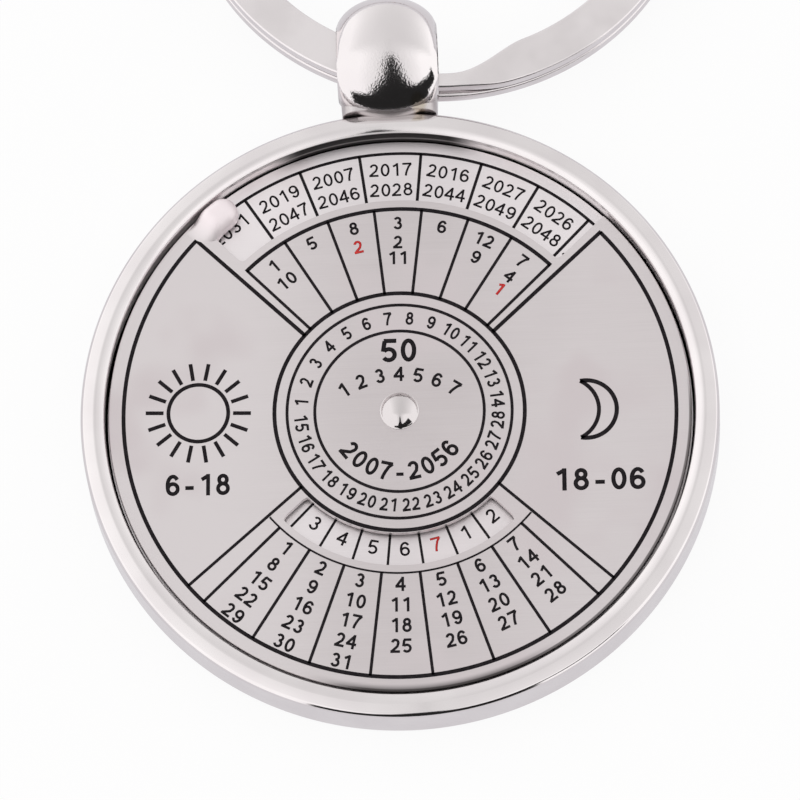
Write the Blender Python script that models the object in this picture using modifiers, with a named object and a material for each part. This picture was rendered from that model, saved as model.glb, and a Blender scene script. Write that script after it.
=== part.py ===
"""A perpetual calendar keyring: a round case with a turning calendar plate, a bail and a split ring.

Metres, +Z up. The origin is the centre of the case's flat back, +Z points out of the calendar
face and +Y points from the centre to the bail. The year disc lies still in the case. The face
plate turns over it on a domed pin, and the split ring swings in the bail.
"""
import math

import bmesh
import bpy
from mathutils import Matrix

# Case: a turned dish. The bezel is the raised rim round the calendar face.
CASE_RADIUS = 0.02005
SIDE_LEAN = 0.00012
BACK_ROUND = 0.00035
FLOOR_THICKNESS = 0.0015
BEZEL_WIDTH = 0.00143
BEZEL_DROP = 0.0004
BEZEL_EDGE_ROUND = 0.0001
RIM_RISE = 0.00065
SOCKET_DEPTH_SHARE = 0.73

# Year disc, friction washer and face plate, stacked on the case floor.
DISC_THICKNESS = 0.0005
DISC_CLEARANCE = 0.0003
WASHER_THICKNESS = 0.0003
WASHER_RADIUS = 0.004
PLATE_THICKNESS = 0.0004
PLATE_CLEARANCE = 0.00025

# Year window, open to the plate's edge, and weekday window. Angles are in degrees.
YEAR_WINDOW_DEPTH = 0.00415
YEAR_WINDOW_ROUND = 0.0005
YEAR_WINDOW_LEFT = 43.1
YEAR_WINDOW_RIGHT = -45.4
DAY_WINDOW_INNER_RADIUS = 0.0080
DAY_WINDOW_WIDTH = 0.0021
DAY_WINDOW_ROUND = 0.0005
DAY_WINDOW_HALF_ANGLE = 45.0
PLATE_REST_TURN = -1.36

# Finger tab: a domed tongue on the plate, over the left end of the year window.
TAB_WIDTH = 0.0018
TAB_REACH = 0.00275
TAB_ROOT = 0.0026
TAB_RISE = 0.00075
TAB_UNDERSIDE_LIFT = 0.00005

# Centre pin.
PIN_RADIUS = 0.0007
PIN_CLEARANCE = 0.0001
PIN_HEAD_RADIUS = 0.00122
PIN_HEAD_HEIGHT = 0.0006

# Split ring: flat wire in two coils, narrowed where it changes coils. Angles along the ring are
# in degrees from the bail, positive to the right. The ring hangs turned sideways in the bail.
RING_RADIUS = 0.01646
RING_BAND = 0.00257
COIL_THICKNESS = 0.00084
COIL_GAP = 0.00011
WIRE_CHAMFER = 0.0001
RING_YAW = 14.2
RING_FLOOR_GAP = 0.00002
UPPER_COIL_START = 8.0
CROSSING_START = 350.0
CROSSING_END = 366.0
LOWER_COIL_END = 708.0
NARROW_WIDTH_SHARE = 0.47
NARROW_LEFT_ANGLES = (-11.0, -3.0)
NARROW_RIGHT_ANGLES = (15.5, 35.0)
START_INSET = 0.00023
START_INSET_ANGLES = (17.0, 28.0)

# Bail: a crowned oval barrel with an eye for the ring. Its foot is soldered in a pocket that is
# milled into the case's side.
BAIL_WIDTH = 0.0064
BAIL_TOP_WALL = 0.00195
BAIL_SIDE_WALL = 0.00107
BAIL_FOOT_WALL = 0.0003
BAIL_LIP = 0.00012
BAIL_CROWN_END_SHARE = 0.2
BAIL_CASE_GAP = 0.00005
EYE_CLEARANCE = 0.0001
POCKET_DEPTH = 0.00045
POCKET_LIFT = 0.0002
POCKET_CEILING = 0.0004
FOOT_WIDTH = 0.0060
FOOT_REACH = 0.0018
FOOT_CLEARANCE = 0.0001

# How finely round shapes are cut, how often the ring's sweep at the bail's mouth is worked out
# anew, and how far a cutter passes what it cuts.
ROUND_STEPS = 72
SMALL_ROUND_STEPS = 32
OVAL_SIDES = 48
CROWN_STEPS = 7
ARC_STEPS = 4
COIL_STEP = 6.0
FINE_COIL_STEP = 2.0
MOUTH_ROUNDS = 8
CUT_OVERRUN = 0.001
MERGE_DISTANCE = 0.000001

# Heights and radii that follow from the sizes above.
DISC_TOP = FLOOR_THICKNESS + DISC_THICKNESS
PLATE_BOTTOM = DISC_TOP + WASHER_THICKNESS
PLATE_TOP = PLATE_BOTTOM + PLATE_THICKNESS
RIM_TOP = PLATE_TOP + RIM_RISE
BEZEL_OUTER_RADIUS = CASE_RADIUS - SIDE_LEAN
WELL_RADIUS = BEZEL_OUTER_RADIUS - BEZEL_WIDTH
PIN_HOLE_RADIUS = PIN_RADIUS + PIN_CLEARANCE
SOCKET_FLOOR = FLOOR_THICKNESS * (1 - SOCKET_DEPTH_SHARE)
PLATE_RADIUS = WELL_RADIUS - PLATE_CLEARANCE
RING_INNER_RADIUS = RING_RADIUS - RING_BAND
RING_MIDDLE_RADIUS = (RING_RADIUS + RING_INNER_RADIUS) / 2
RING_HALF_THICKNESS = COIL_THICKNESS + COIL_GAP / 2
YAW = math.radians(RING_YAW)


def sweep_at_mouth(circle_radius):
    """How far a swinging circle of the ring reaches from its axis where it leaves the bail.

    The second value is how far from the bail's middle plane that is, along the eye's height.
    """
    along = BAIL_WIDTH / 2
    for _ in range(MOUTH_ROUNDS):
        offset = RING_MIDDLE_RADIUS - math.sqrt(circle_radius ** 2 - along ** 2)
        reach = math.hypot(offset, RING_HALF_THICKNESS)
        along = (BAIL_WIDTH / 2 + reach * math.sin(YAW)) / math.cos(YAW)
    return reach, along * math.sin(YAW) + reach * math.cos(YAW)


# The eye clears the ring as it swings: its inner edge at the left mouth, its outer at the right.
INNER_SWEEP, SWEEP_UP = sweep_at_mouth(RING_INNER_RADIUS)
SWEEP_DOWN = sweep_at_mouth(RING_RADIUS)[1]
POCKET_Y = CASE_RADIUS - POCKET_DEPTH
POCKET_TOP = RIM_TOP - BEZEL_DROP - POCKET_CEILING
BAIL_BOTTOM = CASE_RADIUS + BAIL_CASE_GAP
EYE_BOTTOM = BAIL_BOTTOM + BAIL_FOOT_WALL
SWING_Y = EYE_BOTTOM + EYE_CLEARANCE + SWEEP_DOWN
EYE_TOP = SWING_Y + SWEEP_UP + EYE_CLEARANCE
EYE_MIDDLE = (EYE_BOTTOM + EYE_TOP) / 2
EYE_HALF_HEIGHT = (EYE_TOP - EYE_BOTTOM) / 2
EYE_HALF_DEPTH = INNER_SWEEP + EYE_CLEARANCE
SWING_Z = EYE_HALF_DEPTH + BAIL_SIDE_WALL


def ring_rest_tilt():
    """How far the ring leans down from the bail so that its far edge lies on the case's level."""
    reach = RING_MIDDLE_RADIUS + RING_RADIUS
    drop = SWING_Z - RING_FLOOR_GAP
    return math.asin(drop / math.hypot(reach, RING_HALF_THICKNESS)) - math.atan2(RING_HALF_THICKNESS, reach)


def remove_everything():
    """Empty the scene."""
    for obj in list(bpy.data.objects):
        bpy.data.objects.remove(obj, do_unlink=True)


def new_collection(name):
    """A collection linked to the scene."""
    collection = bpy.data.collections.new(name)
    bpy.context.scene.collection.children.link(collection)
    return collection


def new_material(name, colour, roughness, metallic=1.0):
    """A plain Principled material."""
    material = bpy.data.materials.new(name)
    material.use_nodes = True
    shader = material.node_tree.nodes["Principled BSDF"]
    shader.inputs["Base Color"].default_value = (*colour, 1.0)
    shader.inputs["Roughness"].default_value = roughness
    shader.inputs["Metallic"].default_value = metallic
    return material


def add_object(name, mesh, collection, material=None):
    """An object with this mesh in a collection."""
    obj = bpy.data.objects.new(name, mesh)
    collection.objects.link(obj)
    if material:
        obj.data.materials.append(material)
    return obj


def make_cutter(obj):
    """Keep a cutter or a joining shape out of the render."""
    obj.hide_render = True
    obj.display_type = "WIRE"
    return obj


def arc(centre_x, centre_z, radius, start, end, steps=ARC_STEPS):
    """Points on an arc, from one angle to another in degrees, both ends included."""
    points = []
    for step in range(steps + 1):
        angle = math.radians(start + (end - start) * step / steps)
        points.append((centre_x + radius * math.cos(angle), centre_z + radius * math.sin(angle)))
    return points


def turned(name, profile, collection, material=None, steps=ROUND_STEPS, closed=False):
    """A profile of radius and height, outer side running down, turned round the Z axis."""
    mesh = bpy.data.meshes.new(name)
    edges = [(index, index + 1) for index in range(len(profile) - 1)]
    if closed:
        edges.append((len(profile) - 1, 0))
    mesh.from_pydata([(radius, 0, height) for radius, height in profile], edges, [])
    obj = add_object(name, mesh, collection, material)
    screw = obj.modifiers.new("Screw", "SCREW")
    screw.steps = steps
    screw.render_steps = steps
    screw.use_merge_vertices = True
    screw.merge_threshold = MERGE_DISTANCE
    return obj


def loft(name, rings, collection, material=None):
    """A closed solid through rings of points, which all have the same number of points."""
    count = len(rings[0])
    vertices = [point for ring in rings for point in ring]
    faces = []
    for row in range(len(rings) - 1):
        for column in range(count):
            after = (column + 1) % count
            faces.append((row * count + column, row * count + after,
                          (row + 1) * count + after, (row + 1) * count + column))
    faces.append(tuple(range(count))[::-1])
    faces.append(tuple(range((len(rings) - 1) * count, len(rings) * count)))
    mesh = bpy.data.meshes.new(name)
    mesh.from_pydata(vertices, [], faces)
    skin = bmesh.new()
    skin.from_mesh(mesh)
    bmesh.ops.recalc_face_normals(skin, faces=skin.faces)
    skin.to_mesh(mesh)
    skin.free()
    return add_object(name, mesh, collection, material)


def box(name, low, high, collection):
    """A box between two corners."""
    skin = bmesh.new()
    bmesh.ops.create_cube(skin, size=1.0)
    size = [high[axis] - low[axis] for axis in range(3)]
    middle = [(high[axis] + low[axis]) / 2 for axis in range(3)]
    bmesh.ops.transform(skin, matrix=Matrix.Translation(middle) @ Matrix.Diagonal((*size, 1.0)),
                        verts=skin.verts)
    mesh = bpy.data.meshes.new(name)
    skin.to_mesh(mesh)
    skin.free()
    return add_object(name, mesh, collection)


def boolean(obj, other, operation):
    """Cut or join with another object, with the exact solver."""
    modifier = obj.modifiers.new(operation.title(), "BOOLEAN")
    modifier.operation = operation
    modifier.solver = "EXACT"
    modifier.object = other


def shade(obj, angle=30.0):
    """Smooth shading with sharp edges where faces meet at more than an angle in degrees."""
    obj.data.shade_smooth()
    obj.data.set_sharp_from_angle(angle=math.radians(angle))


def polar(radius, degrees):
    """A point of the plate's plane, from a radius and an angle counted from +X."""
    angle = math.radians(degrees)
    return (radius * math.cos(angle), radius * math.sin(angle))


def arc_between(radius, start, end):
    """Points on an arc about the origin, as fine as the plate's own edge."""
    count = max(2, round(abs(end - start) / 360 * ROUND_STEPS))
    return [polar(radius, start + (end - start) * step / count) for step in range(count + 1)]


def corner(radius_of_point, degrees, fillet, radial_sign, turn_sign, steps=ARC_STEPS):
    """A rounded corner between an arc about the origin and a radial edge.

    The fillet's centre lies one fillet radius inside both edges. radial_sign says whether the
    outline's inside lies outwards (1) or inwards (-1) of the arc, and turn_sign whether it lies
    at larger (1) or smaller (-1) angles than the radial edge.
    """
    centre_radius = radius_of_point + radial_sign * fillet
    centre_angle = degrees + turn_sign * math.degrees(math.asin(fillet / centre_radius))
    centre = polar(centre_radius, centre_angle)
    on_arc = centre_angle + (180 if radial_sign > 0 else 0)
    on_edge = degrees - turn_sign * 90
    sweep = (on_edge - on_arc + 180) % 360 - 180
    points = []
    for step in range(steps + 1):
        angle = math.radians(on_arc + sweep * step / steps)
        points.append((centre[0] + fillet * math.cos(angle), centre[1] + fillet * math.sin(angle)))
    return centre_angle, points


def window_outline(inner, outer, left, right, fillet):
    """The outline of a window between two arcs and two radial ends, with rounded corners."""
    inner_right, inner_right_corner = corner(inner, right, fillet, 1, 1)
    inner_left, inner_left_corner = corner(inner, left, fillet, 1, -1)
    outer_right, outer_right_corner = corner(outer, right, fillet, -1, 1)
    outer_left, outer_left_corner = corner(outer, left, fillet, -1, -1)
    outline = inner_right_corner[::-1]
    outline += arc_between(inner, inner_right, inner_left)[1:-1]
    outline += inner_left_corner
    outline += outer_left_corner[::-1]
    outline += arc_between(outer, outer_left, outer_right)[1:-1]
    outline += outer_right_corner
    return outline


def plate_outline():
    """The plate's edge, with the year window cut in as a notch that is open at the edge."""
    left = 90 + YEAR_WINDOW_LEFT
    right = 90 + YEAR_WINDOW_RIGHT
    inner = PLATE_RADIUS - YEAR_WINDOW_DEPTH
    inner_right, right_corner = corner(inner, right, YEAR_WINDOW_ROUND, 1, 1)
    inner_left, left_corner = corner(inner, left, YEAR_WINDOW_ROUND, 1, -1)
    outline = arc_between(PLATE_RADIUS, left, right + 360)
    outline += right_corner[::-1]
    outline += arc_between(inner, inner_right, inner_left)[1:-1]
    outline += left_corner
    return outline


def flat_sheet(name, outlines, bottom, top, collection, material):
    """A flat piece between two heights, filled between its outline and its holes."""
    curve = bpy.data.curves.new(name + "_outline", "CURVE")
    curve.dimensions = "2D"
    curve.fill_mode = "BOTH"
    curve.extrude = (top - bottom) / 2
    for outline in outlines:
        spline = curve.splines.new("POLY")
        spline.points.add(len(outline) - 1)
        for point, (x, y) in zip(spline.points, outline):
            point.co = (x, y, 0, 1)
        spline.use_cyclic_u = True
    drawn = bpy.data.objects.new(name + "_outline", curve)
    drawn.location = (0, 0, (top + bottom) / 2)
    collection.objects.link(drawn)
    bpy.context.view_layer.update()
    graph = bpy.context.evaluated_depsgraph_get()
    mesh = bpy.data.meshes.new_from_object(drawn.evaluated_get(graph))
    mesh.name = name
    skin = bmesh.new()
    skin.from_mesh(mesh)
    bmesh.ops.remove_doubles(skin, verts=skin.verts, dist=MERGE_DISTANCE)
    bmesh.ops.recalc_face_normals(skin, faces=skin.faces)
    skin.to_mesh(mesh)
    skin.free()
    sheet = add_object(name, mesh, collection, material)
    sheet.matrix_world = drawn.matrix_world
    bpy.data.objects.remove(drawn, do_unlink=True)
    bpy.data.curves.remove(curve)
    return sheet


def case_profile():
    """The case's section, from the middle of the pin's socket over the rim to the back."""
    bezel_run = BEZEL_WIDTH - 2 * BEZEL_EDGE_ROUND
    bezel_radius = (bezel_run ** 2 + BEZEL_DROP ** 2) / (2 * BEZEL_DROP)
    bezel_sweep = math.degrees(math.asin(bezel_run / bezel_radius))
    crest_radius = WELL_RADIUS + BEZEL_EDGE_ROUND
    edge_top = RIM_TOP - BEZEL_DROP
    profile = [(0, SOCKET_FLOOR), (PIN_HOLE_RADIUS, SOCKET_FLOOR), (PIN_HOLE_RADIUS, FLOOR_THICKNESS)]
    profile += [(WELL_RADIUS, FLOOR_THICKNESS), (WELL_RADIUS, RIM_TOP - BEZEL_EDGE_ROUND)]
    profile += arc(crest_radius, RIM_TOP - bezel_radius, bezel_radius, 90, 90 - bezel_sweep)
    profile += [(BEZEL_OUTER_RADIUS, edge_top - BEZEL_EDGE_ROUND)]
    profile += arc(CASE_RADIUS - BACK_ROUND, BACK_ROUND, BACK_ROUND, 0, -90)
    profile += [(0, 0)]
    return profile


def make_case(collection, cutters, material):
    """The dish, with a pocket for the bail's foot milled into its side wall."""
    case = turned("case", case_profile(), collection, material)
    half_width = FOOT_WIDTH / 2 + FOOT_CLEARANCE
    pocket = box("pocket_cutter", (-half_width, POCKET_Y, POCKET_LIFT),
                 (half_width, CASE_RADIUS + CUT_OVERRUN, POCKET_TOP), cutters)
    boolean(case, make_cutter(pocket), "DIFFERENCE")
    return case


def make_year_disc(collection, material):
    """The printed disc on the case floor."""
    radius = WELL_RADIUS - DISC_CLEARANCE
    profile = [(PIN_HOLE_RADIUS, DISC_TOP), (radius, DISC_TOP),
               (radius, FLOOR_THICKNESS), (PIN_HOLE_RADIUS, FLOOR_THICKNESS)]
    return turned("year_disc", profile, collection, material, closed=True)


def make_washer(collection, material):
    """The washer between the disc and the plate."""
    profile = [(PIN_HOLE_RADIUS, PLATE_BOTTOM), (WASHER_RADIUS, PLATE_BOTTOM),
               (WASHER_RADIUS, DISC_TOP), (PIN_HOLE_RADIUS, DISC_TOP)]
    return turned("friction_washer", profile, collection, material,
                  steps=SMALL_ROUND_STEPS, closed=True)


def tab_profile():
    """Radius and place along the tab, from its rounded tip to its root."""
    half_width = TAB_WIDTH / 2
    straight = TAB_REACH - half_width
    points = []
    for step in range(ARC_STEPS + 1):
        angle = math.pi / 2 * step / ARC_STEPS
        points.append((half_width * math.sin(angle), straight + half_width * math.cos(angle)))
    points.append((half_width, 0))
    for step in range(1, ARC_STEPS + 1):
        share = step / ARC_STEPS
        points.append((half_width * math.cos(math.pi / 2 * share), -TAB_ROOT * share))
    points[0] = (0, points[0][1])
    points[-1] = (0, points[-1][1])
    return points


def make_tab(cutters):
    """The domed finger tab, lying along the plate's edge at the year window's left end."""
    lathe = turned("tab_turning", tab_profile(), cutters, steps=SMALL_ROUND_STEPS)
    graph = bpy.context.evaluated_depsgraph_get()
    mesh = bpy.data.meshes.new_from_object(lathe.evaluated_get(graph))
    mesh.name = "tab"
    bpy.data.objects.remove(lathe, do_unlink=True)
    middle = (PLATE_TOP + PLATE_BOTTOM) / 2
    rise = PLATE_TOP + TAB_RISE - middle
    place = (Matrix.Rotation(math.radians(YEAR_WINDOW_LEFT), 4, "Z")
             @ Matrix.Translation((0, PLATE_RADIUS - TAB_WIDTH / 2, middle))
             @ Matrix.Diagonal((1, 1, rise / (TAB_WIDTH / 2), 1))
             @ Matrix.Rotation(math.pi / 2, 4, "Y"))
    mesh.transform(place)
    skin = bmesh.new()
    skin.from_mesh(mesh)
    bmesh.ops.recalc_face_normals(skin, faces=skin.faces)
    cut = bmesh.ops.bisect_plane(
        skin, geom=skin.verts[:] + skin.edges[:] + skin.faces[:], dist=MERGE_DISTANCE,
        plane_co=(0, 0, PLATE_BOTTOM + TAB_UNDERSIDE_LIFT), plane_no=(0, 0, 1), clear_inner=True)
    rim = [item for item in cut["geom_cut"] if isinstance(item, bmesh.types.BMEdge)]
    bmesh.ops.contextual_create(skin, geom=rim)
    bmesh.ops.recalc_face_normals(skin, faces=skin.faces)
    skin.to_mesh(mesh)
    skin.free()
    return make_cutter(add_object("tab", mesh, cutters))


def make_face_plate(collection, cutters, material):
    """The turning plate with its two windows, its pin hole and its finger tab."""
    weekdays = window_outline(DAY_WINDOW_INNER_RADIUS, DAY_WINDOW_INNER_RADIUS + DAY_WINDOW_WIDTH,
                              270 + DAY_WINDOW_HALF_ANGLE, 270 - DAY_WINDOW_HALF_ANGLE, DAY_WINDOW_ROUND)
    pin_hole = arc(0, 0, PIN_HOLE_RADIUS, 0, 360, SMALL_ROUND_STEPS)[:-1]
    plate = flat_sheet("face_plate", [plate_outline(), weekdays, pin_hole],
                       PLATE_BOTTOM, PLATE_TOP, collection, material)
    plate.data.transform(plate.matrix_world)
    plate.matrix_world = Matrix.Identity(4)
    boolean(plate, make_tab(cutters), "UNION")
    return plate


def make_centre_pin(collection, material):
    """The pin with its domed head, standing in the case's socket."""
    dome_radius = (PIN_HEAD_RADIUS ** 2 + PIN_HEAD_HEIGHT ** 2) / (2 * PIN_HEAD_HEIGHT)
    half_angle = math.degrees(math.asin(PIN_HEAD_RADIUS / dome_radius))
    top = PLATE_TOP + PIN_HEAD_HEIGHT
    profile = arc(0, top - dome_radius, dome_radius, 90, 90 - half_angle, 2 * ARC_STEPS)
    profile[0] = (0, top)
    profile += [(PIN_RADIUS, PLATE_TOP), (PIN_RADIUS, SOCKET_FLOOR), (0, SOCKET_FLOOR)]
    return turned("centre_pin", profile, collection, material, steps=SMALL_ROUND_STEPS)


def oval(x, middle_y, half_y, half_z):
    """Points of an oval in a plane across the bail, at the swing axis's height."""
    points = []
    for side in range(OVAL_SIDES):
        angle = 2 * math.pi * side / OVAL_SIDES
        points.append((x, middle_y + half_y * math.cos(angle), SWING_Z + half_z * math.sin(angle)))
    return points


def barrel_ovals():
    """Ovals from one end of the bail to the other: its walls thin towards both ends, to a lip.

    The outer surface is a slice of an ellipse along the bail, and the slice ends where the
    ellipse has fallen to a share of its height.
    """
    end_angle = math.acos(BAIL_CROWN_END_SHARE)
    ellipse_half_width = BAIL_WIDTH / 2 / math.sin(end_angle)
    ovals = []
    for step in range(-CROWN_STEPS, CROWN_STEPS + 1):
        angle = end_angle * step / CROWN_STEPS
        fullness = (math.cos(angle) - BAIL_CROWN_END_SHARE) / (1 - BAIL_CROWN_END_SHARE)
        top = EYE_TOP + BAIL_LIP + (BAIL_TOP_WALL - BAIL_LIP) * fullness
        bottom = EYE_BOTTOM - BAIL_LIP - (BAIL_FOOT_WALL - BAIL_LIP) * fullness
        half_z = EYE_HALF_DEPTH + BAIL_LIP + (BAIL_SIDE_WALL - BAIL_LIP) * fullness
        x = ellipse_half_width * math.sin(angle)
        ovals.append(oval(x, (top + bottom) / 2, (top - bottom) / 2, half_z))
    return ovals


def make_bail(collection, cutters, material):
    """The crowned barrel with its foot, and the eye cut through both."""
    bail = loft("bail", barrel_ovals(), collection, material)
    foot = box("foot", (-FOOT_WIDTH / 2, POCKET_Y, POCKET_LIFT + FOOT_CLEARANCE),
               (FOOT_WIDTH / 2, EYE_BOTTOM + FOOT_REACH, POCKET_TOP - FOOT_CLEARANCE), cutters)
    mouth = BAIL_WIDTH / 2 + CUT_OVERRUN
    eye = loft("eye_cutter", [oval(x, EYE_MIDDLE, EYE_HALF_HEIGHT, EYE_HALF_DEPTH)
                              for x in (-mouth, mouth)], cutters)
    boolean(bail, make_cutter(foot), "UNION")
    boolean(bail, make_cutter(eye), "DIFFERENCE")
    return bail


def smooth_step(value, low, high):
    """0 below low, 1 above high, and a smooth rise between them."""
    share = min(1, max(0, (value - low) / (high - low)))
    return share * share * (3 - 2 * share)


def wire_width_share(degrees):
    """How wide the wire is at an angle along the ring: narrow near the change of coils."""
    near = (degrees + 180) % 360 - 180
    left = 1 - smooth_step(near, *NARROW_LEFT_ANGLES)
    right = smooth_step(near, *NARROW_RIGHT_ANGLES)
    return NARROW_WIDTH_SHARE + (1 - NARROW_WIDTH_SHARE) * max(left, right)


def wire_angles():
    """Angles of the wire's sections over both coils, closer together near the change."""
    angles = []
    angle = UPPER_COIL_START
    while angle < LOWER_COIL_END:
        angles.append(angle)
        near = abs((angle + 180) % 360 - 180)
        fine = near < NARROW_RIGHT_ANGLES[1] + FINE_COIL_STEP
        angle += FINE_COIL_STEP if fine else COIL_STEP
    angles.append(LOWER_COIL_END)
    return angles


def wire_section(degrees):
    """The wire's eight-sided section at an angle along the ring."""
    outer = RING_RADIUS - START_INSET * (1 - smooth_step(degrees, *START_INSET_ANGLES))
    inner = RING_RADIUS - RING_BAND * wire_width_share(degrees)
    level = (COIL_THICKNESS + COIL_GAP) * (0.5 - smooth_step(degrees, CROSSING_START, CROSSING_END))
    high = level + COIL_THICKNESS / 2
    low = level - COIL_THICKNESS / 2
    cut = WIRE_CHAMFER
    section = [(outer - cut, high), (outer, high - cut), (outer, low + cut), (outer - cut, low),
               (inner + cut, low), (inner, low + cut), (inner, high - cut), (inner + cut, high)]
    angle = math.radians(degrees)
    return [(radius * math.sin(angle), RING_MIDDLE_RADIUS - radius * math.cos(angle), height)
            for radius, height in section]


def make_split_ring(collection, material):
    """The ring, with its origin on the swing axis in the bail's eye."""
    ring = loft("split_ring", [wire_section(angle) for angle in wire_angles()], collection, material)
    ring.matrix_world = (Matrix.Translation((0, SWING_Y, SWING_Z))
                         @ Matrix.Rotation(-YAW, 4, "Z")
                         @ Matrix.Rotation(-ring_rest_tilt(), 4, "X"))
    return ring


def main():
    """Build the keyring."""
    remove_everything()
    parts = new_collection("perpetual_calendar_keyring")
    cutters = new_collection("cutters")
    polished = new_material("polished_plate", (0.80, 0.79, 0.78), 0.12)
    satin = new_material("satin_face", (0.66, 0.65, 0.65), 0.38)
    still = new_material("satin_disc", (0.70, 0.69, 0.70), 0.35)
    washer_steel = new_material("washer_steel", (0.50, 0.50, 0.50), 0.45)
    ring_steel = new_material("ring_steel", (0.74, 0.72, 0.70), 0.22)
    make_case(parts, cutters, polished)
    make_bail(parts, cutters, polished)
    make_year_disc(parts, still)
    make_washer(parts, washer_steel)
    plate = make_face_plate(parts, cutters, satin)
    make_centre_pin(parts, polished)
    make_split_ring(parts, ring_steel)
    plate.rotation_euler = (0, 0, math.radians(PLATE_REST_TURN))
    for obj in parts.objects:
        shade(obj)
    bpy.context.view_layer.update()


main()
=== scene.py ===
# %% [markdown]
# # A perpetual calendar keyring
#
# The real object is a polished round case, 40 mm across, with a satin calendar plate that turns
# inside its raised rim. A crowned bail at its edge holds a split ring. The measured solids come
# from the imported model. This notebook gives each of them the form and finish that the eye sees:
# fine rounded edges, brushed and polished metal, printed numbers, and light to show them.

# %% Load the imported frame
import math

import bmesh
import bpy
from mathutils import Matrix


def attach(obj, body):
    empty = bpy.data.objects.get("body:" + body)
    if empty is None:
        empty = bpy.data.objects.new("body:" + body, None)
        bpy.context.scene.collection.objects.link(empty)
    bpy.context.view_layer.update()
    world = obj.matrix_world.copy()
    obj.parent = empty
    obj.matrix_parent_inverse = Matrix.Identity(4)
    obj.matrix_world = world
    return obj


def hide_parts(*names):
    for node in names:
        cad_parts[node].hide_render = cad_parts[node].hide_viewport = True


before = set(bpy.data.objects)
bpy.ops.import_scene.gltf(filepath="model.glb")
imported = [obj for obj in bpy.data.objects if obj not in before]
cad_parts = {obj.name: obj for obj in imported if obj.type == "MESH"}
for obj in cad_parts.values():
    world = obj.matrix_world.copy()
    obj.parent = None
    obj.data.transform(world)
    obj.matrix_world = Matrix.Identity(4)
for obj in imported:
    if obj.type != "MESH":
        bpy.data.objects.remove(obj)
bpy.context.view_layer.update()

# %% [markdown]
# ## Small helpers
#
# Every size is in metres, so a millimetre gets a short name. An operator works on whatever is
# selected, so each step starts with nothing selected. Vertices are picked by their place.

# %% Helpers for selecting and editing
MM = 0.001


def start_clean():
    """Leave edit mode and select nothing."""
    if bpy.context.mode != "OBJECT":
        bpy.ops.object.mode_set(mode="OBJECT")
    bpy.ops.object.select_all(action="DESELECT")


def choose(piece):
    """Select one piece alone, in object mode."""
    start_clean()
    piece.select_set(True)
    bpy.context.view_layer.objects.active = piece


def edit(piece):
    """Open one piece in edit mode, with everything in it selected."""
    choose(piece)
    bpy.ops.object.mode_set(mode="EDIT")
    bpy.ops.mesh.select_mode(type="VERT")
    bpy.ops.mesh.select_all(action="SELECT")


def pick(piece, kind, test):
    """In edit mode, select the vertices or edges whose middle passes a test."""
    bpy.ops.mesh.select_mode(type=kind)
    bpy.ops.mesh.select_all(action="DESELECT")
    mesh = bmesh.from_edit_mesh(piece.data)
    for part in mesh.verts if kind == "VERT" else mesh.edges:
        ends = [part, part] if kind == "VERT" else part.verts
        part.select = test((ends[0].co + ends[1].co) / 2)
    mesh.select_flush_mode()
    bmesh.update_edit_mesh(piece.data)


def merge(distance=0.001 * MM):
    """In edit mode, merge double points and leave everything selected."""
    bpy.ops.mesh.select_all(action="SELECT")
    bpy.ops.mesh.remove_doubles(threshold=distance)
    bpy.ops.mesh.select_all(action="SELECT")


def close_up(piece, distance=0.001 * MM):
    """Merge double points, turn every face outwards and go back to object mode."""
    merge(distance)
    bpy.ops.mesh.normals_make_consistent(inside=False)
    bpy.ops.object.mode_set(mode="OBJECT")
    return piece


def settle(piece, name):
    """Put a piece's place into its mesh and give it its name."""
    choose(piece)
    bpy.ops.object.transform_apply(location=True, rotation=True, scale=True)
    piece.name = name
    piece.data.name = name
    return piece


def apply_modifiers(piece):
    """Apply all modifiers, first to last."""
    choose(piece)
    for modifier in list(piece.modifiers):
        bpy.ops.object.modifier_apply(modifier=modifier.name)


def smooth(piece, angle=30):
    """Shade smooth, with flat faces kept flat and edges sharper than an angle kept sharp."""
    choose(piece)
    bpy.ops.object.shade_smooth_by_angle(angle=math.radians(angle))
    weights = piece.modifiers.new("even", "WEIGHTED_NORMAL")
    weights.keep_sharp = True
    weights.weight = 100
    apply_modifiers(piece)
    print(piece.name, len(piece.data.polygons), "faces")


def round_edges(piece, width, angle):
    """Round every edge that is sharper than an angle."""
    bevel = piece.modifiers.new("edges", "BEVEL")
    bevel.width = width
    bevel.segments = 3
    bevel.limit_method = "ANGLE"
    bevel.angle_limit = math.radians(angle)
    apply_modifiers(piece)


def cut_with(piece, cutter, operation="DIFFERENCE"):
    """Cut with, or join, another piece, which is then removed."""
    start_clean()
    boolean = piece.modifiers.new("cut", "BOOLEAN")
    boolean.operation = operation
    boolean.solver = "EXACT"
    boolean.object = cutter
    apply_modifiers(piece)
    bpy.data.objects.remove(cutter, do_unlink=True)


def at(radius, angle, centre=(0, 0)):
    """A point from a radius and an angle in degrees, counted from +X round a centre."""
    turn = math.radians(angle)
    return centre[0] + radius * math.cos(turn), centre[1] + radius * math.sin(turn)


def arc(centre_x, centre_y, radius, start, end, steps):
    """Points on an arc between two angles in degrees."""
    return [at(radius, start + (end - start) * step / steps, (centre_x, centre_y))
            for step in range(steps + 1)]


# %% [markdown]
# ## Sizes shared by several pieces
#
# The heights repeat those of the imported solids: the well's floor is 1.5 mm high, the disc's face
# 2 mm and the plate's 2.7 mm, and the rim stands 0.6 mm above the plate. At rest the plate is
# turned a little, as it was left by whoever set the date. The dial is divided in 28 columns, one
# for each year of the cycle after which the calendar repeats.

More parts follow.
